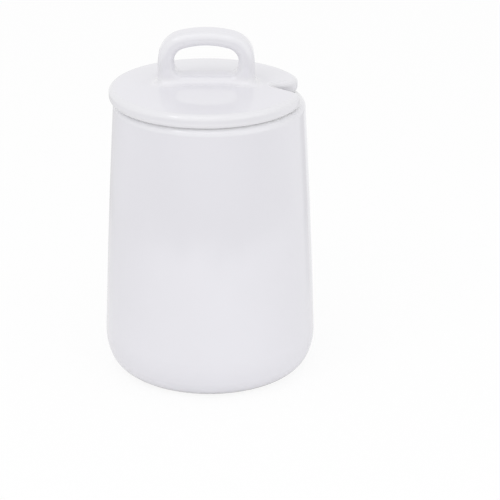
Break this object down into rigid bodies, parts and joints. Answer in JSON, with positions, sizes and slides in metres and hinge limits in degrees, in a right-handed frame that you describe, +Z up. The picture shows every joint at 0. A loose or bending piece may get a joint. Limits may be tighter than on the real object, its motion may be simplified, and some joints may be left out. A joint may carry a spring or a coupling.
{
  "type": "honey pot",
  "caption": "Glazed ceramic honey pot: tapering round body, loose domed lid with a loop handle, and a rounded notch in the lid for the dipper's handle.",
  "frame": {"origin": "middle of the foot, on the plane the pot stands on", "axes": "+Z up through the lid's handle, +X towards the notch in the lid, -Y towards the side the handle's hole is seen from"},
  "size_m": [0.092, 0.092, 0.1529],
  "materials": {
    "glaze": "cool white glossy glaze, smooth; the ring the pot stands on is bare clay"
  },
  "bodies": {
    "root": {"pot": "glaze", "lid": "glaze"}
  },
  "joints": []
}
